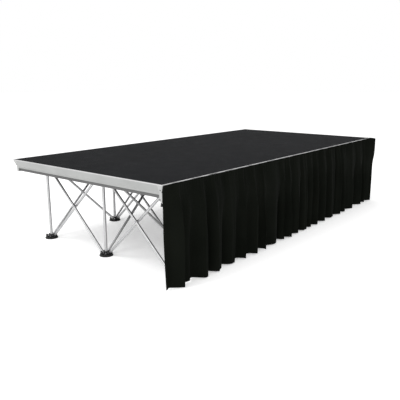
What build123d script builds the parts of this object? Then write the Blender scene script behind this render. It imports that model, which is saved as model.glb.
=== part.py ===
from build123d import *

import os
from math import atan2, degrees, hypot

# Stage riser platform: one deck panel that stands on two folding risers of crossed tubes,
# with a pleated skirt on its front side. Millimetres, +Z up, X along the deck, front = -Y.

# ---- driving dimensions ----
DECK_L = 2000.0          # deck length, along X
DECK_W = 1000.0          # deck width, along Y
DECK_H = 420.0           # height of the walking surface
BOARD_T = 20.0           # board thickness
PITCH = 431.0            # distance between neighbouring legs of one riser
RISER_CENTRES = {"a": -430.0, "b": 500.0}  # X of each riser's middle leg row

TUBE_R = 6.0             # crossed tubes
TUBE_WALL = 1.5
TUBE_PAST = 5.0          # tube end beyond its last hole
LEG_R = 7.0              # upright legs
LEG_WALL = 1.5

PIN_R = 2.5
PIN_PLAY = 0.06          # radial play of a tube on its pin
HEAD_R = 4.0
HEAD_T = 1.5

DISC_R = 30.0            # hub moulding
DISC_T = 3.5
BOSS_R = 9.5
BOSS_H = 17.0
SPIGOT_R = 5.3
SPIGOT_L = 15.0
EAR_IN, EAR_OUT = 11.0, 24.0
EAR_T = 4.0
EAR_GAP = 13.0
EAR_TOP = 17.0
PIVOT_OUT = 18.0         # pivot from the hub's centre
PIVOT_UP = 12.0          # pivot above the moulding's base face
SIDE_STEP = 7.0          # a tube's offset to one side, so that crossed tubes pass
PAD_R = 32.0             # rubber foot pad
PAD_T = 3.5

RAIL_H = 56.0            # edge rail
RAIL_T = 28.0
LIP_T = 2.5              # rail's metal outside the board
LIP_H = 4.0
RAIL_IN = 11.0           # how far the rail's face leans in under the lip
SLANT_BOTTOM = 34.0      # depth at which the lean ends
STEP_IN = 6.0            # undercut along the rail's bottom edge
STEP_H = 14.0
RAIL_WALL = 3.0
CORNER = 26.0            # corner connector, across each face
CORNER_H = 58.0
TAIL = 19.0              # the front connectors' narrower lower end
TAIL_H = 71.0
SCREW_R = 3.0
SCREW_DOWN = 24.0
SCREW_END = 15.0         # depth of the screw's point from the deck's edge

BEAM_W = 25.0            # cross member under the board
BEAM_H = 30.0
BEAM_WALL = 2.0

SKIRT_PROUD = 42.0       # pleats stand this far out from the deck's edge
SKIRT_TOP = 3.5          # skirt's top edge below the walking surface
SKIRT_BODY = 90.0        # depth below the surface where the pleats are full
SKIRT_CLEAR = 4.0        # hem above the floor
SKIRT_RETURN = 50.0      # length of skirt round the right-hand corner
SKIRT_IN = 7.0           # the skirt begins this far in from the deck's left end
TAPE_T = 2.5
TAPE_GAP = 0.2
TAPE_BOTTOM = 32.0

# ---- worked out ----
UNDER_BOARD = DECK_H - BOARD_T
LOW_PIVOT = PAD_T + PIVOT_UP
HIGH_PIVOT = UNDER_BOARD - PIVOT_UP
RUN = PITCH - 2 * PIVOT_OUT
RISE = HIGH_PIVOT - LOW_PIVOT
TUBE_LEN = hypot(RUN, RISE)
TUBE_TILT = degrees(atan2(RISE, RUN))
LEG_BOTTOM = PAD_T + BOSS_H
LEG_TOP = UNDER_BOARD - BOSS_H
HALF_L, HALF_W = DECK_L / 2, DECK_W / 2
# the part's origin is under the middle of its box, which the skirt makes larger
ORIGIN_SHIFT = (-SKIRT_PROUD / 2, SKIRT_PROUD / 2, 0.0)

COLUMNS = ["left", "middle", "right"]      # along X in each riser
ROWS = ["front", "centre", "rear"]         # along Y
SIDES = {"+x": 0, "+y": 90, "-x": 180, "-y": 270}
ALONG = {"+x": (1, 0), "+y": (0, 1), "-x": (-1, 0), "-y": (0, -1)}
OPPOSITE = {"+x": "-x", "-x": "+x", "+y": "-y", "-y": "+y"}


def place(shape):
    return Pos(*ORIGIN_SHIFT) * shape


def leg_xy(riser, column, row):
    """Where one leg stands; column and row count from 0."""
    return RISER_CENTRES[riser] + (column - 1) * PITCH, (row - 1) * PITCH


def side_step(side):
    """The sideways offset of a tube that rises towards this side."""
    dx, dy = ALONG[side]
    return -dy * SIDE_STEP, dx * SIDE_STEP


def low_pivot(riser, column, row, side):
    """The pin at the foot of the tube that rises from a leg towards one side."""
    x, y = leg_xy(riser, column, row)
    dx, dy = ALONG[side]
    sx, sy = side_step(side)
    return x + dx * PIVOT_OUT + sx, y + dy * PIVOT_OUT + sy, LOW_PIVOT


def has_neighbour(column, row, side):
    dx, dy = ALONG[side]
    return 0 <= column + dx <= 2 and 0 <= row + dy <= 2


# ---- hub moulding, with its base face at z = 0 and its ears up ----
def ear(y):
    plate = Pos((EAR_IN + EAR_OUT) / 2, y, (DISC_T + EAR_TOP) / 2) * Box(
        EAR_OUT - EAR_IN, EAR_T, EAR_TOP - DISC_T
    )
    top = plate.edges().filter_by(Axis.Y).group_by(Axis.Z)[-1]
    return fillet(top, 4.5)


def pin_hole(y_middle, length, radius):
    return Pos(PIVOT_OUT, y_middle, PIVOT_UP) * Rot(90, 0, 0) * Cylinder(radius, length)


def hub_moulding():
    disc = Pos(0, 0, DISC_T / 2) * Cylinder(DISC_R, DISC_T)
    disc = fillet(disc.edges().group_by(Axis.Z)[-1], 1.5)
    boss = Pos(0, 0, BOSS_H / 2) * Cylinder(BOSS_R, BOSS_H)
    spigot = Pos(0, 0, BOSS_H + SPIGOT_L / 2) * Cylinder(SPIGOT_R, SPIGOT_L)
    body = disc + boss + spigot
    ear_y = (EAR_GAP + EAR_T) / 2
    for angle in SIDES.values():
        pair = ear(SIDE_STEP - ear_y) + ear(SIDE_STEP + ear_y)
        pair -= pin_hole(SIDE_STEP, EAR_GAP + 4 * EAR_T, PIN_R)
        body += Rot(0, 0, angle) * pair
    return body


def hub_pin():
    """A headed pin through one pair of ears."""
    grip = EAR_GAP + 2 * EAR_T
    pin = pin_hole(SIDE_STEP, grip, PIN_R)
    for end in (-1, 1):
        pin += pin_hole(SIDE_STEP + end * (grip + HEAD_T) / 2, HEAD_T, HEAD_R)
    return pin


def hub_with_pins(sides):
    return [hub_moulding()] + [Rot(0, 0, SIDES[s]) * hub_pin() for s in sides]


def foot_leg(column, row):
    """Rubber pad, hub moulding, its pins and the leg that stands in it, in both risers."""
    sides = [s for s in SIDES if has_neighbour(column, row, s)]
    pad = Pos(0, 0, PAD_T / 2) * Cylinder(PAD_R, PAD_T)
    pad = fillet(pad.edges().group_by(Axis.Z)[-1], 2.0)
    leg_len = LEG_TOP - LEG_BOTTOM
    leg = Cylinder(LEG_R, leg_len) - Cylinder(LEG_R - LEG_WALL, leg_len)
    one = [pad, Pos(0, 0, (LEG_TOP + LEG_BOTTOM) / 2) * leg]
    one += [Pos(0, 0, PAD_T) * s for s in hub_with_pins(sides)]
    return [Pos(*leg_xy(r, column, row), 0) * s for r in RISER_CENTRES for s in one]


def top_hub(column, row):
    """The same moulding upside down, flush under the board, in both risers."""
    # turned over about X, a side along Y faces the other way
    turned = {"+x": "+x", "-x": "-x", "+y": "-y", "-y": "+y"}
    sides = [turned[s] for s in SIDES if has_neighbour(column, row, s)]
    one = [Rot(180, 0, 0) * s for s in hub_with_pins(sides)]
    return [
        Pos(*leg_xy(r, column, row), UNDER_BOARD) * s for r in RISER_CENTRES for s in one
    ]


# ---- crossed tubes ----
def crossing_bolt():
    """Bolt and spacer at a tube's middle, reaching through the tube that crosses it."""
    apart = 2 * SIDE_STEP
    near = TUBE_R + 0.3
    far = -apart - TUBE_R - 0.3
    shank = Pos(0, (near + far) / 2, 0) * Rot(90, 0, 0) * Cylinder(PIN_R, near - far)
    for y in (near + HEAD_T / 2, far - HEAD_T / 2):
        shank += Pos(0, y, 0) * Rot(90, 0, 0) * Cylinder(HEAD_R, HEAD_T)
    gap = apart - 2 * TUBE_R
    ring = Cylinder(HEAD_R + 1, gap - 0.2) - Cylinder(PIN_R, gap)
    spacer = Pos(0, -TUBE_R - gap / 2 + 0.1, 0) * Rot(90, 0, 0) * ring
    return [shank, spacer]


def riser_tube(with_bolt):
    """One tube from its lower pin at the origin, along +X, with a pin hole at each end and
    in the middle, then the bolt if it carries one."""
    length = TUBE_LEN + 2 * TUBE_PAST
    lie = Pos(TUBE_LEN / 2, 0, 0) * Rot(0, 90, 0)
    tube = lie * (Cylinder(TUBE_R, length) - Cylinder(TUBE_R - TUBE_WALL, length))
    for x in (0, TUBE_LEN / 2, TUBE_LEN):
        tube -= Pos(x, 0, 0) * Rot(90, 0, 0) * Cylinder(PIN_R + PIN_PLAY, 4 * TUBE_R)
    bolt = [Pos(TUBE_LEN / 2, 0, 0) * s for s in crossing_bolt()] if with_bolt else []
    return [tube] + bolt


def tube_in_place(riser, column, row, side, with_bolt):
    """The tube that rises from this leg towards one side."""
    stand = (
        Pos(*low_pivot(riser, column, row, side))
        * Rot(0, 0, SIDES[side])
        * Rot(0, -TUBE_TILT, 0)
    )
    return [stand * s for s in riser_tube(with_bolt)]


# Tubes of one bay: the one that rises away from the middle leg carries the bolt.
def length_bays():
    """(riser, row, side of the middle leg) of each bay along X."""
    return [(r, row, s) for r in RISER_CENTRES for row in range(3) for s in ("-x", "+x")]


def depth_bays():
    """(column, side of the centre leg) of each bay along Y; both risers alike."""
    return [(c, s) for c in range(3) for s in ("-y", "+y")]


def length_name(riser, row, side, outward):
    bay = "left" if side == "-x" else "right"
    way = "out" if outward else "in"
    return f"length_tube_{riser}_{ROWS[row]}_{bay}_{way}"


def depth_name(column, side, outward):
    bay = "front" if side == "-y" else "rear"
    way = "out" if outward else "in"
    return f"depth_tube_{COLUMNS[column]}_{bay}_{way}"


def length_tube(riser, row, side, outward):
    if outward:
        return tube_in_place(riser, 1, row, side, True)
    return tube_in_place(riser, 1 + ALONG[side][0], row, OPPOSITE[side], False)


def depth_tube(column, side, outward):
    solids = []
    for riser in RISER_CENTRES:
        if outward:
            solids += tube_in_place(riser, column, 1, side, True)
        else:
            row = 1 + ALONG[side][1]
            solids += tube_in_place(riser, column, row, OPPOSITE[side], False)
    return solids


# ---- deck ----
def lean(depth):
    """How far in the rail's face lies at a depth below the walking surface."""
    return RAIL_IN * (depth - LIP_H) / (SLANT_BOTTOM - LIP_H)


def board_edge():
    """The board's edge from its underside up; it leans in with the rail."""
    return [
        (LIP_T + lean(BOARD_T), UNDER_BOARD), (LIP_T, DECK_H - LIP_H), (LIP_T, DECK_H),
    ]


def rail_outline(height):
    """Outer outline of a rail: distance in from the deck's edge, and height."""
    slant_end = DECK_H - SLANT_BOTTOM
    bottom = DECK_H - height
    return [
        (0, DECK_H), (0, DECK_H - LIP_H), (RAIL_IN, slant_end),
        (RAIL_IN, bottom + STEP_H), (RAIL_IN + STEP_IN, bottom + STEP_H),
        (RAIL_IN + STEP_IN, bottom), (RAIL_T, bottom), (RAIL_T, UNDER_BOARD),
    ] + board_edge()


def rail_hollow():
    top, bottom = UNDER_BOARD - RAIL_WALL, DECK_H - RAIL_H + RAIL_WALL
    slant_end = DECK_H - SLANT_BOTTOM
    inner = RAIL_IN + RAIL_WALL
    return [
        (lean(BOARD_T + RAIL_WALL) + RAIL_WALL, top), (RAIL_T - RAIL_WALL, top),
        (RAIL_T - RAIL_WALL, bottom), (inner + STEP_IN, bottom),
        (inner + STEP_IN, bottom + STEP_H), (inner, bottom + STEP_H), (inner, slant_end),
    ]


def along_x(outline, length):
    """Extrude (in, up) points along X, centred, with the deck's edge at y = 0, in = +Y."""
    face = make_face(Polyline(*outline, close=True))
    # the sketch's x becomes +Y and its y becomes +Z, so its normal is +X
    turn = Plane(origin=(-length / 2, 0, 0), x_dir=(0, 1, 0), z_dir=(1, 0, 0))
    return extrude(turn * face, length)


def rail(length):
    """A rail along the front edge, mitred behind the corner connectors."""
    bar = along_x(rail_outline(RAIL_H), length) - along_x(rail_hollow(), length + 2)
    for end in (-1, 1):
        reach = 2 * RAIL_T
        mitre = Polyline(
            (end * length / 2, 0), (end * (length / 2 - reach), reach),
            (end * (length / 2 + reach), reach), close=True,
        )
        bar -= extrude(make_face(mitre), DECK_H)
        block = Pos(end * length / 2, 0, DECK_H / 2) * Box(2 * CORNER, 2 * CORNER, DECK_H)
        bar -= block
    return bar


def edge_rails():
    rails = []
    for turn in (0, 90, 180, 270):
        along_side = turn in (0, 180)
        length, out = (DECK_L, HALF_W) if along_side else (DECK_W, HALF_L)
        rails.append(Rot(0, 0, turn) * Pos(0, -out, 0) * rail(length))
    return rails


def corner_post(size, height):
    """A post with leaning outer faces, its outer corner at the origin, inwards +X and +Y."""
    bottom = DECK_H - height
    outline = [
        (0, DECK_H), (0, DECK_H - LIP_H), (RAIL_IN, DECK_H - SLANT_BOTTOM),
        (RAIL_IN, bottom), (size, bottom), (size, DECK_H),
    ]
    one = Pos(size / 2, 0, 0) * along_x(outline, size)
    return one & mirror(one, about=Plane(origin=(0, 0, 0), z_dir=(1, -1, 0)))


def corner_connector(front):
    """The post and its screw."""
    post = corner_post(CORNER, CORNER_H)
    if front:
        post += corner_post(TAIL, TAIL_H)
    face_in = lean(SCREW_DOWN)
    axis = Pos(0, (CORNER + face_in) / 2, DECK_H - SCREW_DOWN) * Rot(0, 90, 0)
    hole = axis * Pos(0, 0, SCREW_END / 2) * Cylinder(SCREW_R, SCREW_END)
    # the head sits a little below the leaning face
    head = face_in + lean(LIP_H + SCREW_R)
    screw = axis * Pos(0, 0, (head + SCREW_END) / 2) * Cylinder(SCREW_R, SCREW_END - head)
    return [post - hole, screw]


def corner_connectors():
    """One at each corner; the board rests on them, inside a thin rim."""
    board = deck_board()[0]
    solids = []
    for sx in (-1, 1):
        for sy in (-1, 1):
            for s in corner_connector(sy < 0):
                if sx > 0:
                    s = mirror(s, about=Plane.YZ)
                if sy > 0:
                    s = mirror(s, about=Plane.XZ)
                solids.append(Pos(sx * HALF_L, sy * HALF_W, 0) * s - board)
    return solids


def board_bar(width, length):
    """A bar along X with the board's outline across it."""
    near = board_edge()
    far = [(width - inwards, up) for inwards, up in reversed(near)]
    return Pos(0, -width / 2, 0) * along_x(near + far, length)


def deck_board():
    return [board_bar(DECK_W, DECK_L) & (Rot(0, 0, 90) * board_bar(DECK_L, DECK_W))]


def cross_members():
    """Box beams under the board, midway between legs."""
    length = DECK_W - 2 * RAIL_T
    beam = Box(BEAM_W, length, BEAM_H) - Box(
        BEAM_W - 2 * BEAM_WALL, length, BEAM_H - 2 * BEAM_WALL
    )
    middles = [x + s * PITCH / 2 for x in RISER_CENTRES.values() for s in (-1, 1)]
    return [Pos(x, 0, UNDER_BOARD - BEAM_H / 2) * beam for x in middles]


# ---- skirt ----
def tape_outline():
    """Hook-and-loop tape on the rail's leaning face."""
    points = []
    for depth, gap in (
        (SKIRT_TOP, TAPE_GAP), (TAPE_BOTTOM, TAPE_GAP),
        (TAPE_BOTTOM, TAPE_GAP + TAPE_T), (SKIRT_TOP, TAPE_GAP + TAPE_T),
    ):
        points.append((lean(depth) - gap, DECK_H - depth))
    return points


def skirt_outline():
    """The space that the pleats fill, behind them the tape and the rail."""
    behind = TAPE_GAP + TAPE_T
    return [
        (lean(SKIRT_TOP) - behind, DECK_H - SKIRT_TOP),
        (lean(TAPE_BOTTOM) - behind, DECK_H - TAPE_BOTTOM),
        (lean(TAPE_BOTTOM) - behind, SKIRT_CLEAR),
        (-SKIRT_PROUD, SKIRT_CLEAR),
        (-SKIRT_PROUD, DECK_H - SKIRT_BODY),
        (-8.0, DECK_H - SKIRT_TOP),
    ]


def round_front_and_corner(outline):
    """Run an outline along the front edge and round the right-hand corner."""
    far = DECK_L - SKIRT_IN + SKIRT_PROUD
    front = Pos((SKIRT_IN + SKIRT_PROUD) / 2, -HALF_W, 0) * along_x(outline, far)
    back = SKIRT_RETURN + SKIRT_PROUD
    side = Pos(back / 2 - SKIRT_PROUD, 0, 0) * along_x(outline, back)
    side = Pos(HALF_L, -HALF_W, 0) * Rot(0, 0, 90) * side
    return front, side


def mitred_corner(outline):
    """Front run and return, cut where they meet on the corner's diagonal, then joined."""
    front, side = round_front_and_corner(outline)
    reach = 4 * SKIRT_PROUD
    corner = (HALF_L, -HALF_W)
    beyond = [
        (corner[0] - reach, corner[1] + reach), (corner[0] + reach, corner[1] - reach),
        (corner[0] + reach, corner[1] + reach),
    ]
    wedge = extrude(make_face(Polyline(*beyond, close=True)), DECK_H)
    return (front - wedge) + (side & wedge)


def export(name, solids):
    solids = [place(s) for s in solids]
    shape = solids[0] if len(solids) == 1 else Compound(children=solids)
    export_step(shape, f"parts/{name}.step")


def nodes():
    """Every node's name and its solids."""
    yield "deck_board", deck_board()
    yield "edge_rails", edge_rails()
    yield "corner_connectors", corner_connectors()
    yield "cross_members", cross_members()
    yield "stage_skirt", [mitred_corner(skirt_outline())]
    yield "skirt_header_tape", [mitred_corner(tape_outline())]
    for column, column_name in enumerate(COLUMNS):
        for row, row_name in enumerate(ROWS):
            yield f"foot_leg_{column_name}_{row_name}", foot_leg(column, row)
            yield f"top_hub_{column_name}_{row_name}", top_hub(column, row)
    for bay in length_bays():
        for outward in (True, False):
            yield length_name(*bay, outward), length_tube(*bay, outward)
    for bay in depth_bays():
        for outward in (True, False):
            yield depth_name(*bay, outward), depth_tube(*bay, outward)


if __name__ == "__main__":
    os.makedirs("parts", exist_ok=True)
    for node_name, node_solids in nodes():
        export(node_name, node_solids)
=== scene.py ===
import math

import bmesh
import bpy
import numpy as np
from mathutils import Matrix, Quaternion, Vector


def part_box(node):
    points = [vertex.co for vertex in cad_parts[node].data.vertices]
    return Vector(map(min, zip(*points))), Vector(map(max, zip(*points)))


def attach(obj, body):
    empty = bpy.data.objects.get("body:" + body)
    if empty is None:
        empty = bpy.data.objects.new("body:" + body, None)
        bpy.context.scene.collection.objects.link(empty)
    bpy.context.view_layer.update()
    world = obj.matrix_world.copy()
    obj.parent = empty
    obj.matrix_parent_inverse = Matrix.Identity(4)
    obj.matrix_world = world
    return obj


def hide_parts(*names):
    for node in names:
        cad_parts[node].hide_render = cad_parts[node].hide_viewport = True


# Looks for the stage riser platform: materials on the CAD parts, the pleated skirt as cloth,
# a pale floor, soft light and the camera. Everything is in metres, in the frame of the CAD.

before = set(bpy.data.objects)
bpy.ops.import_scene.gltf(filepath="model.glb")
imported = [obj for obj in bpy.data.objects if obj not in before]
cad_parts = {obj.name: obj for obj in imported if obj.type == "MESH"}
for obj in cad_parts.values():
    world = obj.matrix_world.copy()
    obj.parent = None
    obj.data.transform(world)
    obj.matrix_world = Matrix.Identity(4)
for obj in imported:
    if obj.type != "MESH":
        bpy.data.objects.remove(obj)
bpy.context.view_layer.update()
MM = 0.001

# ---- places read from the frame ----
RAILS_LOW, RAILS_HIGH = (Vector(c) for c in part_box("edge_rails"))
SKIRT_LOW, SKIRT_HIGH = (Vector(c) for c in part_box("stage_skirt"))
TAPE_LOW, TAPE_HIGH = (Vector(c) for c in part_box("skirt_header_tape"))
DECK_MIDDLE = (RAILS_LOW + RAILS_HIGH) / 2
DECK_TOP = RAILS_HIGH.z

# hub moulding and pins, as they are in the CAD parts
PAD_T = 3.5 * MM
LEG_R = 7 * MM
LEG_BOTTOM = 20.5 * MM
PIVOT_OUT = 18 * MM
PIVOT_UP = 12 * MM
SIDE_STEP = 7 * MM
PIN_HEAD_R = 4 * MM
PIN_REACH = 13 * MM      # a pin's ends, from the middle of its hub ear
SPACER_R = 5 * MM

# corner screws and rail edges, as they are in the CAD parts
SCREW_R = 3 * MM
SCREW_DOWN = 24 * MM     # below the deck's top
SCREW_IN = 16.67 * MM    # from the deck's side
STEP_H = 14 * MM
LIP_H = 4 * MM
HAIR = 0.08 * MM         # tolerance when faces are sorted by where they lie


# ---- small helpers for node materials ----
class Shader:
    """A material with one Principled shader, and short calls that add its nodes."""

    def __init__(self, name):
        self.mat = bpy.data.materials.new(name)
        self.mat.use_nodes = True
        self.tree = self.mat.node_tree
        self.bsdf = self.tree.nodes["Principled BSDF"]
        self.coords = self.add("ShaderNodeTexCoord").outputs["Object"]

    def add(self, kind, **settings):
        node = self.tree.nodes.new(kind)
        for key, value in settings.items():
            setattr(node, key, value)
        return node

    def link(self, source, target):
        self.tree.links.new(source, target)
        return target

    def set(self, **values):
        for name, value in values.items():
            self.bsdf.inputs[name.replace("_", " ")].default_value = value

    def stretch(self, scale, rotation=(0, 0, 0)):
        node = self.add("ShaderNodeMapping")
        node.inputs["Scale"].default_value = scale
        node.inputs["Rotation"].default_value = rotation
        self.link(self.coords, node.inputs["Vector"])
        return node.outputs["Vector"]

    def noise(self, scale, detail=3.0, rough=0.5, vector=None):
        node = self.add("ShaderNodeTexNoise")
        node.inputs["Scale"].default_value = scale
        node.inputs["Detail"].default_value = detail
        node.inputs["Roughness"].default_value = rough
        self.link(vector or self.coords, node.inputs["Vector"])
        return node.outputs["Fac"]

    def voronoi(self, scale, feature="F1"):
        node = self.add("ShaderNodeTexVoronoi", feature=feature)
        node.inputs["Scale"].default_value = scale
        self.link(self.coords, node.inputs["Vector"])
        return node.outputs["Distance"]

    def wave(self, scale, direction):
        node = self.add("ShaderNodeTexWave", bands_direction=direction)
        node.inputs["Scale"].default_value = scale
        node.inputs["Distortion"].default_value = 0.0
        self.link(self.coords, node.inputs["Vector"])
        return node.outputs["Fac"]

    def ramp(self, value, low, high):
        """value stretched so that low becomes 0 and high becomes 1, clamped."""
        node = self.add("ShaderNodeMapRange", clamp=True)
        node.inputs["From Min"].default_value = low
        node.inputs["From Max"].default_value = high
        self.link(value, node.inputs["Value"])
        return node.outputs["Result"]

    def between(self, value, low, high):
        """value, from 0 to 1, as a number from low to high."""
        node = self.add("ShaderNodeMapRange", clamp=True)
        node.inputs["To Min"].default_value = low
        node.inputs["To Max"].default_value = high
        self.link(value, node.inputs["Value"])
        return node.outputs["Result"]

    def math(self, operation, a, b):
        node = self.add("ShaderNodeMath", operation=operation)
        for socket, value in zip(node.inputs, (a, b)):
            if isinstance(value, (int, float)):
                socket.default_value = value
            else:
                self.link(value, socket)
        return node.outputs["Value"]

    def mix(self, factor, a, b):
        node = self.add("ShaderNodeMix", data_type="RGBA")
        for socket, value in ((0, factor), (6, a), (7, b)):
            if isinstance(value, tuple):
                node.inputs[socket].default_value = (*value, 1)
            elif isinstance(value, (int, float)):
                node.inputs[socket].default_value = value
            else:
                self.link(value, node.inputs[socket])
        return node.outputs[2]

    def colour(self, source):
        self.link(source, self.bsdf.inputs["Base Color"])

    def roughness(self, source):
        self.link(source, self.bsdf.inputs["Roughness"])

    def bump(self, height, strength, distance, after=None):
        node = self.add("ShaderNodeBump")
        node.inputs["Strength"].default_value = strength
        node.inputs["Distance"].default_value = distance
        self.link(height, node.inputs["Height"])
        if after:
            self.link(after, node.inputs["Normal"])
        self.link(node.outputs["Normal"], self.bsdf.inputs["Normal"])
        return node.outputs["Normal"]


# ---- materials ----
def deck_surface():
    """Black phenolic film on plywood with a pressed anti-slip mesh, a little scuffed."""
    s = Shader("deck_surface")
    s.set(Specular_IOR_Level=0.03)
    blotch = s.ramp(s.noise(2.2, 4), 0.35, 0.7)
    base = s.mix(blotch, (0.0050, 0.0054, 0.0064), (0.0060, 0.0065, 0.0078))
    scuffs = s.ramp(s.noise(9, 6, 0.65, s.stretch((1, 5, 1), (0, 0, 0.5))), 0.60, 0.74)
    dust = s.ramp(s.noise(420, 2), 0.55, 0.8)
    worn = s.math("MULTIPLY", scuffs, dust)
    s.colour(s.mix(s.math("MULTIPLY", worn, 0.35), base, (0.03, 0.03, 0.03)))
    mesh = s.ramp(s.voronoi(260, "DISTANCE_TO_EDGE"), 0.02, 0.22)
    s.roughness(s.between(s.noise(14, 4), 0.66, 0.8))
    first = s.bump(mesh, 0.55, 0.35 * MM)
    s.bump(s.noise(1400, 2), 0.15, 0.1 * MM, first)
    return s.mat


def aluminium(name, tone, rough, streak_scale, streak=0.07, smudge=6.0):
    """Satin aluminium with fine drawn streaks and faint handling marks."""
    s = Shader(name)
    s.set(Metallic=1.0)
    drawn = s.noise(1.0, 4, 0.6, s.stretch(streak_scale))
    marks = s.noise(smudge, 5, 0.6)
    dark = tuple(c * (1 - streak) for c in tone)
    light = tuple(min(1.0, c * (1 + streak)) for c in tone)
    base = s.mix(s.ramp(drawn, 0.3, 0.7), dark, light)
    dull = tuple(c * 0.86 for c in tone)
    s.colour(s.mix(s.math("MULTIPLY", s.ramp(marks, 0.5, 0.75), 0.5), base, dull))
    s.roughness(s.between(s.ramp(marks, 0.3, 0.75), rough - 0.05, rough + 0.1))
    s.bump(drawn, 0.12, 0.08 * MM)
    return s.mat


def moulded_plastic():
    """Black glass-filled nylon with a fine spark-eroded grain."""
    s = Shader("hub_moulding")
    s.set(Specular_IOR_Level=0.35)
    tone = s.ramp(s.noise(30, 4), 0.35, 0.7)
    s.colour(s.mix(tone, (0.0075, 0.0075, 0.0078), (0.014, 0.014, 0.0145)))
    s.roughness(s.between(s.noise(55, 3), 0.42, 0.6))
    s.bump(s.noise(1600, 3), 0.25, 0.12 * MM)
    return s.mat


def foot_rubber():
    """Black rubber with a dusty lower edge."""
    s = Shader("foot_rubber")
    s.set(Specular_IOR_Level=0.25)
    dust = s.ramp(s.noise(90, 5, 0.7), 0.45, 0.75)
    s.colour(s.mix(dust, (0.009, 0.009, 0.009), (0.022, 0.021, 0.020)))
    s.roughness(s.between(s.noise(120, 3), 0.72, 0.9))
    s.bump(s.noise(900, 3), 0.3, 0.15 * MM)
    return s.mat


def pin_steel():
    """Zinc-plated steel pins and bolts."""
    s = Shader("pin_steel")
    s.set(Metallic=1.0)
    spangle = s.ramp(s.noise(380, 3), 0.35, 0.7)
    s.colour(s.mix(spangle, (0.36, 0.36, 0.37), (0.52, 0.52, 0.53)))
    s.roughness(s.between(s.noise(240, 3), 0.24, 0.4))
    s.bump(s.noise(900, 2), 0.08, 0.05 * MM)
    return s.mat


def skirt_cloth():
    """Matt black woven polyester, with a stitched header and hem."""
    s = Shader("skirt_fabric")
    s.set(Specular_IOR_Level=0.02, Sheen_Weight=0.006, Sheen_Roughness=0.5)
    shade = s.ramp(s.noise(7, 4), 0.35, 0.7)
    base = s.mix(shade, (0.0036, 0.0043, 0.0032), (0.0050, 0.0058, 0.0044))
    lint = s.ramp(s.noise(850, 2, 0.6), 0.68, 0.8)
    s.colour(s.mix(s.math("MULTIPLY", lint, 0.2), base, (0.012, 0.012, 0.0115)))
    s.roughness(s.between(s.noise(30, 3), 0.86, 0.98))
    warp = s.wave(1900, "DIAGONAL")
    weft = s.wave(1900, "Z")
    weave = s.math("MULTIPLY", warp, weft)
    first = s.bump(weave, 0.35, 0.12 * MM)
    second = s.bump(s.noise(60, 4), 0.2, 0.6 * MM, first)
    s.bump(seam_lines(s), 0.6, 0.5 * MM, second)
    return s.mat


def seam_lines(s):
    """1 on the cloth and 0 in the stitched lines of the hem and header."""
    split = s.add("ShaderNodeSeparateXYZ")
    s.link(s.coords, split.inputs["Vector"])
    z = split.outputs["Z"]
    lines = None
    for height in (SKIRT_LOW.z + 30 * MM, TAPE_LOW.z - 1 * MM):
        away = s.math("ABSOLUTE", s.math("SUBTRACT", z, height), 0.0)
        line = s.ramp(away, 0.2 * MM, 1.2 * MM)
        lines = line if lines is None else s.math("MINIMUM", lines, line)
    return lines


def hook_tape():
    """Black hook-and-loop tape: rows of tiny hooks on a woven ground."""
    s = Shader("hook_tape")
    s.set(Specular_IOR_Level=0.15)
    loops = s.voronoi(900)
    s.colour(s.mix(s.ramp(loops, 0.1, 0.6), (0.014, 0.014, 0.014), (0.006, 0.006, 0.006)))
    s.roughness(s.between(s.noise(60, 3), 0.85, 0.97))
    s.bump(loops, 0.7, 0.5 * MM)
    return s.mat


# ---- finishes on the CAD parts ----
def points_of(obj):
    flat = np.empty(len(obj.data.vertices) * 3)
    obj.data.vertices.foreach_get("co", flat)
    return flat.reshape(-1, 3)


def paint(obj, mask, slot):
    """Faces whose every corner is in the mask take that material slot."""
    data = obj.data
    corners = np.empty(len(data.loops), int)
    data.loops.foreach_get("vertex_index", corners)
    starts = np.empty(len(data.polygons), int)
    data.polygons.foreach_get("loop_start", starts)
    inside = np.logical_and.reduceat(mask[corners], starts)
    index = np.empty(len(data.polygons), int)
    data.polygons.foreach_get("material_index", index)
    index[inside] = slot
    data.polygons.foreach_set("material_index", index)


def wear(obj, *materials):
    obj.data.materials.clear()
    for material in materials:
        obj.data.materials.append(material)


def off_axis(points, axis, at):
    """How far points lie from a line along X (0) or Y (1) through at."""
    other = [k for k in range(3) if k != axis]
    return np.hypot(*(points[:, k] - at[k] for k in other))


def hub_centres(node):
    """The legs of one node: the two risers hold one each, at the box's two ends."""
    low, high = (Vector(c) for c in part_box(node))
    radius = (high.y - low.y) / 2
    y = (low.y + high.y) / 2
    return [(low.x + radius, y), (high.x - radius, y)]


def pin_lines(x, y, top):
    """(axis, point) of the four pins round a hub."""
    turn = -1 if top else 1
    out, step = PIVOT_OUT, SIDE_STEP * turn
    return [
        (1, (x + out, y + step)), (1, (x - out, y - step)),
        (0, (x - step, y + out)), (0, (x + step, y - out)),
    ]


def near_pins(points, node, z, top):
    mask = np.zeros(len(points), bool)
    for x, y in hub_centres(node):
        for axis, (px, py) in pin_lines(x, y, top):
            at = (px, py, z)
            along = np.abs(points[:, axis] - at[axis]) < PIN_REACH
            mask |= along & (off_axis(points, axis, at) < PIN_HEAD_R + HAIR)
    return mask


def finish_foot(node, looks):
    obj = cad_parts[node]
    wear(obj, looks["plastic"], looks["rubber"], looks["tube"], looks["steel"])
    points = points_of(obj)
    paint(obj, points[:, 2] < PAD_T + HAIR, 1)
    legs = np.zeros(len(points), bool)
    for x, y in hub_centres(node):
        legs |= np.hypot(points[:, 0] - x, points[:, 1] - y) < LEG_R + HAIR
    paint(obj, legs & (points[:, 2] > LEG_BOTTOM - HAIR), 2)
    paint(obj, near_pins(points, node, PAD_T + PIVOT_UP, False), 3)


def finish_top(node, looks):
    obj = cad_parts[node]
    wear(obj, looks["plastic"], looks["steel"])
    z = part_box(node)[1][2] - PIVOT_UP
    paint(obj, near_pins(points_of(obj), node, z, True), 1)


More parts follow.
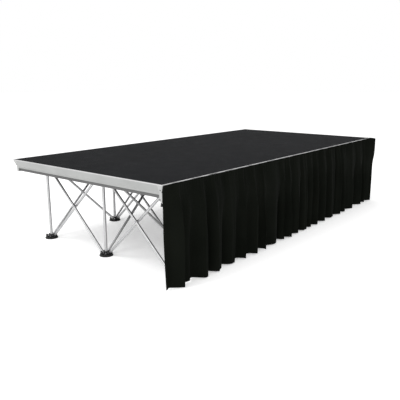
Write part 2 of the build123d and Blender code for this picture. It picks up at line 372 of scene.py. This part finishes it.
def finish_tube(node, looks):
    """A tube, and the bolt and spacer at its middle."""
    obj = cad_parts[node]
    wear(obj, looks["tube"], looks["steel"])
    low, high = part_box(node)
    middle = [(a + b) / 2 for a, b in zip(low, high)]
    axis = 1 if node.startswith("length") else 0
    points = points_of(obj)
    paint(obj, off_axis(points, axis, middle) < SPACER_R + HAIR, 1)


def finish_corners(looks):
    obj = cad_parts["corner_connectors"]
    wear(obj, looks["casting"], looks["screw"], looks["lip"])
    points = points_of(obj)
    # painted highlight: the top lip faces take a lighter aluminium
    paint(obj, points[:, 2] > DECK_TOP - LIP_H - HAIR, 2)
    mask = np.zeros(len(points), bool)
    z = DECK_TOP - SCREW_DOWN
    for y in (RAILS_LOW.y + SCREW_IN, RAILS_HIGH.y - SCREW_IN):
        mask |= off_axis(points, 0, (0, y, z)) < SCREW_R + HAIR
    paint(obj, mask, 1)


def finish_rails(looks):
    """Bare rails, with a painted highlight on the top lip and painted shade on the undercut
    along the bottom edge.
    """
    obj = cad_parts["edge_rails"]
    wear(obj, looks["rail"], looks["painted_shade_undercut"], looks["lip"])
    points = points_of(obj)
    # painted shade: the undercut faces along the rail's bottom edge take a darker aluminium
    paint(obj, points[:, 2] < RAILS_LOW.z + STEP_H + HAIR, 1)
    # painted highlight: the top lip faces take a lighter aluminium
    paint(obj, points[:, 2] > DECK_TOP - LIP_H - HAIR, 2)


def finish_cad(looks):
    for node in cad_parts:
        if node.startswith("foot_leg"):
            finish_foot(node, looks)
        elif node.startswith("top_hub"):
            finish_top(node, looks)
        elif "_tube_" in node:
            finish_tube(node, looks)
    finish_corners(looks)
    wear(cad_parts["deck_board"], looks["deck"])
    finish_rails(looks)
    wear(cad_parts["cross_members"], looks["rail"])
    wear(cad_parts["skirt_header_tape"], looks["tape"])


# ---- pleated skirt ----
PLEAT = 93 * MM          # mean width of one pleat along the deck
COLUMNS = 1300
ROWS = 84
HEADER = 6 * MM          # pleat depth at the header
HEM = 22 * MM            # and at the hem
GATHER = 15 * MM         # width of the small gathers sewn into the header
CLOTH_T = 0.7 * MM
CORNER_BACK = 48 * MM    # length of cloth past the deck's corner
FRONT_ROOM = 41 * MM     # the cloth stays this close to the deck's edge
SEED = 9450
END_PLEAT = 76 * MM      # small extra folds near the left end: width,
END_FOLD = -11 * MM      # depth, negative because they start inwards,
END_REACH = 330 * MM     # and how far along they fade away
RIPPLE = 11 * MM         # uneven in-and-out of the whole cloth below its header
GATHER_DEPTH = 1.4 * MM
LOOP_REACH = 60 * MM     # half length of the loop round the corner
LOOP_HEM, LOOP_FLARE = 16 * MM, 20 * MM      # how far it stands out, and the more at its top


def smooth(t):
    t = np.clip(t, 0, 1)
    return t * t * (3 - 2 * t)


def soften(values, radius):
    """values blurred over radius samples each way, ends held."""
    kernel = np.hanning(2 * radius + 3)[1:-1]
    padded = np.pad(values, radius, mode="edge")
    return np.convolve(padded, kernel / kernel.sum(), mode="valid")


def base_line(run):
    """Point and outward normal at distance run along the deck's front edge and round its
    right-hand corner."""
    bend = 8 * MM
    x_end, y_front = RAILS_HIGH.x - bend, RAILS_LOW.y
    straight = x_end - SKIRT_LOW.x
    arc = bend * math.pi / 2
    turn = np.clip((run - straight) / bend, 0, math.pi / 2)
    nx, ny = np.sin(turn), -np.cos(turn)
    x = SKIRT_LOW.x + np.minimum(run, straight) + bend * nx
    y = y_front + bend * (1 + ny) + np.maximum(run - straight - arc, 0)
    return x, y, nx, ny


def skirt_run():
    """Length of the base line, from the skirt's left end to the end of the return."""
    return (RAILS_HIGH.x - SKIRT_LOW.x) + CORNER_BACK


def spread(rng, count, low, high):
    return rng.uniform(low, high, count)


def pleat_values(values, phase):
    """One value for each pleat, blended smoothly from pleat to pleat."""
    at = np.arange(len(values)) + 0.5
    return soften(np.interp(phase, at, values), COLUMNS // 90)


def hang(t, line, run):
    """How far out from the deck's edge the cloth hangs, before its folds: free of the rail
    below the header, close in at its left end, and in a stiff loop round the corner."""
    middle = 4 * MM + 13 * MM * smooth(t / 0.3)
    left_end = -4 * MM + 12.5 * MM * t**2
    joined = smooth(line / (70 * MM))
    corner = run - CORNER_BACK
    loop = np.exp(-(((line - corner) / LOOP_REACH) ** 2))
    flare = LOOP_HEM + LOOP_FLARE * (1 - smooth(t / 0.45))
    return left_end * (1 - joined) + middle * joined + flare * loop, loop


def fold_strength(line, loop):
    """Folds die away at the left end and in the corner's loop."""
    return (0.12 + 0.88 * smooth(line / (45 * MM))) * (1 - 0.7 * loop)


def header_lean(t):
    """The tape's outer face: it leans in under the rail's lip."""
    down = t * (SKIRT_HIGH.z - SKIRT_LOW.z)
    share = np.clip(down / (TAPE_HIGH.z - TAPE_LOW.z), 0, 1)
    return 1.85 * MM - 9.3 * MM * share


def outer_limit(t, loop):
    """The front of the room that the CAD skirt keeps, narrower towards the header."""
    down = t * (SKIRT_HIGH.z - SKIRT_LOW.z)
    return 9 * MM + 33 * MM * min(1.0, down / (80 * MM)) + 40 * MM * loop


def skirt_points():
    """The cloth's surface, row by row from the header to the hem. Pleats of uneven width
    drift, deepen and split a little on the way down."""
    rng = np.random.default_rng(SEED)
    run = skirt_run()
    count = int(round(run / PLEAT))
    widths = spread(rng, count, 0.45, 1.6)
    edges = np.concatenate([[0], np.cumsum(widths)]) / widths.sum() * run
    drift = np.concatenate([[0], spread(rng, count - 1, -18, 18) * MM, [0]])
    depth_top = spread(rng, count, 0.3, 1.5)
    depth_hem = spread(rng, count, 0.7, 1.1)
    starts = spread(rng, count, -0.1, 0.25)
    second = spread(rng, count, -0.35, 0.35)
    third = spread(rng, count, -0.28, 0.28)
    skew = spread(rng, count, -0.6, 0.6)
    phase = np.linspace(0, count, COLUMNS)
    gathers = soften(spread(rng, COLUMNS, -1, 1), 3)
    ripple = soften(spread(rng, COLUMNS, -1, 1), 14)
    points = np.empty((ROWS, COLUMNS, 3))
    for row, t in enumerate(np.linspace(0, 1, ROWS)):
        z = SKIRT_HIGH.z - t * (SKIRT_HIGH.z - SKIRT_LOW.z - 1 * MM)
        line = soften(np.interp(phase, np.arange(count + 1), edges + drift * t), 6)
        line = np.clip(line, 0, run)
        grow = smooth((t - pleat_values(starts, phase)) / 0.6)
        top, hem = pleat_values(depth_top, phase), pleat_values(depth_hem, phase)
        fold = HEADER * top * (1 - grow) + (HEADER + (HEM - HEADER) * grow) * hem * grow
        angle = 2 * math.pi * phase + pleat_values(skew, phase) * np.sin(2 * math.pi * phase)
        out = -np.cos(angle) + pleat_values(second, phase) * np.cos(2 * angle)
        out += pleat_values(third, phase) * np.cos(3 * angle) * (1 - 0.5 * t)
        middle, loop = hang(t, line, run)
        out = out * fold * fold_strength(line, loop) + RIPPLE * ripple * smooth(t * 4)
        small = np.sin(2 * math.pi * line / GATHER + 2.5 * gathers) * GATHER_DEPTH
        out += np.exp(-t / 0.10) * small
        near = smooth(line / (30 * MM)) * np.exp(-((line / END_REACH) ** 2))
        out += END_FOLD * near * np.sin(2 * math.pi * line / END_PLEAT) * smooth(t * 3)
        lateral = -PLEAT / (2 * math.pi) * (0.06 + 0.16 * grow) * np.sin(2 * angle)
        lateral *= smooth(np.minimum(line, run - line) / PLEAT)
        x, y, nx, ny = base_line(line + lateral)
        away = np.clip(middle + out, header_lean(t) + CLOTH_T, outer_limit(t, loop))
        away = np.minimum(away, FRONT_ROOM / np.maximum(np.abs(nx), np.abs(ny)))
        points[row] = np.stack([x + nx * away, y + ny * away, np.full(COLUMNS, z)], 1)
    return points


def sheet_mesh(name, points):
    rows, columns = points.shape[:2]
    index = np.arange(rows * columns).reshape(rows, columns)
    quads = np.stack(
        [index[:-1, :-1], index[1:, :-1], index[1:, 1:], index[:-1, 1:]], -1
    ).reshape(-1, 4)
    mesh = bpy.data.meshes.new(name)
    mesh.from_pydata(points.reshape(-1, 3).tolist(), [], quads.tolist())
    mesh.polygons.foreach_set("use_smooth", [True] * len(mesh.polygons))
    obj = bpy.data.objects.new(name, mesh)
    bpy.context.collection.objects.link(obj)
    return obj


def stage_skirt(looks):
    points = skirt_points()
    skirt = sheet_mesh("pleated_skirt", points)
    skirt.data.materials.append(looks["cloth"])
    thick = skirt.modifiers.new("thickness", "SOLIDIFY")
    thick.thickness = CLOTH_T
    thick.offset = 0
    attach(skirt, "skirt")
    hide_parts("stage_skirt")


# ---- studio ----
def floor():
    bpy.ops.mesh.primitive_plane_add(size=60, location=(0, 0, -0.0005))
    plane = bpy.context.object
    plane.name = "studio_floor"
    s = Shader("studio_floor")
    s.set(Roughness=0.9, Specular_IOR_Level=0.1)
    tone = s.ramp(s.noise(0.6, 3), 0.3, 0.7)
    s.colour(s.mix(tone, (0.80, 0.80, 0.80), (0.84, 0.84, 0.84)))
    s.set(Emission_Color=(1, 1, 1, 1), Emission_Strength=0.345)
    plane.data.materials.append(s.mat)


def area_light(name, place, aim, size, power):
    data = bpy.data.lights.new(name, "AREA")
    data.shape = "RECTANGLE"
    data.size, data.size_y = size
    data.energy = power
    lamp = bpy.data.objects.new(name, data)
    lamp.location = place
    lamp.rotation_euler = (Vector(aim) - Vector(place)).to_track_quat("-Z", "Y").to_euler()
    bpy.context.collection.objects.link(lamp)


def lights():
    world = bpy.data.worlds.new("studio")
    world.use_nodes = True
    back = world.node_tree.nodes["Background"]
    back.inputs["Color"].default_value = (1, 1, 1, 1)
    back.inputs["Strength"].default_value = 1.0
    bpy.context.scene.world = world
    area_light("key", (-3.2, 0.9, 3.4), (-0.4, 0, 0.2), (2.4, 2.4), 85)
    area_light("fill", (-2.7, -1.3, 1.0), (-1.0, -0.4, 0.35), (1.2, 0.8), 15)


def camera():
    """Near the deck's left front corner, at about the eye height of someone crouching."""
    data = bpy.data.cameras.new("camera")
    data.sensor_width = 36.0
    data.lens = 45.1
    data.clip_end = 100
    cam = bpy.data.objects.new("camera", data)
    cam.location = (DECK_MIDDLE.x - 2.2983, DECK_MIDDLE.y - 1.7438, 0.7896)
    look = Vector((0.75244, 0.61681, -0.23105))
    tilt = Quaternion((0, 0, 1), math.radians(-0.12))
    cam.rotation_euler = (look.to_track_quat("-Z", "Y") @ tilt).to_euler()
    bpy.context.collection.objects.link(cam)
    bpy.context.scene.camera = cam


looks = {
    "deck": deck_surface(),
    "rail": aluminium("edge_rail", (0.355, 0.36, 0.355), 0.42, (3, 3, 900)),
    # painted shade for the rails' bottom undercut, darker than the rail's own aluminium
    "painted_shade_undercut": aluminium("rail_painted_shade_undercut", (0.15, 0.15, 0.15), 0.6, (3, 3, 900)),
    # painted highlight for the top lip of the rails and corner pieces
    "lip": aluminium("lip_painted_highlight", (0.52, 0.52, 0.52), 0.36, (9, 9, 900)),
    "screw": aluminium("dark_screw", (0.10, 0.10, 0.10), 0.5, (300, 300, 300), 0.05, 90),
    "casting": aluminium("corner_casting", (0.42, 0.425, 0.42), 0.46, (250, 250, 250), 0.05, 30),
    "tube": aluminium("riser_tube", (0.50, 0.50, 0.505), 0.48, (60, 60, 60), 0.06, 12),
    "plastic": moulded_plastic(),
    "rubber": foot_rubber(),
    "steel": pin_steel(),
    "cloth": skirt_cloth(),
    "tape": hook_tape(),
}
bpy.context.scene.view_settings.view_transform = "Standard"
camera()
floor()
lights()
finish_cad(looks)
stage_skirt(looks)
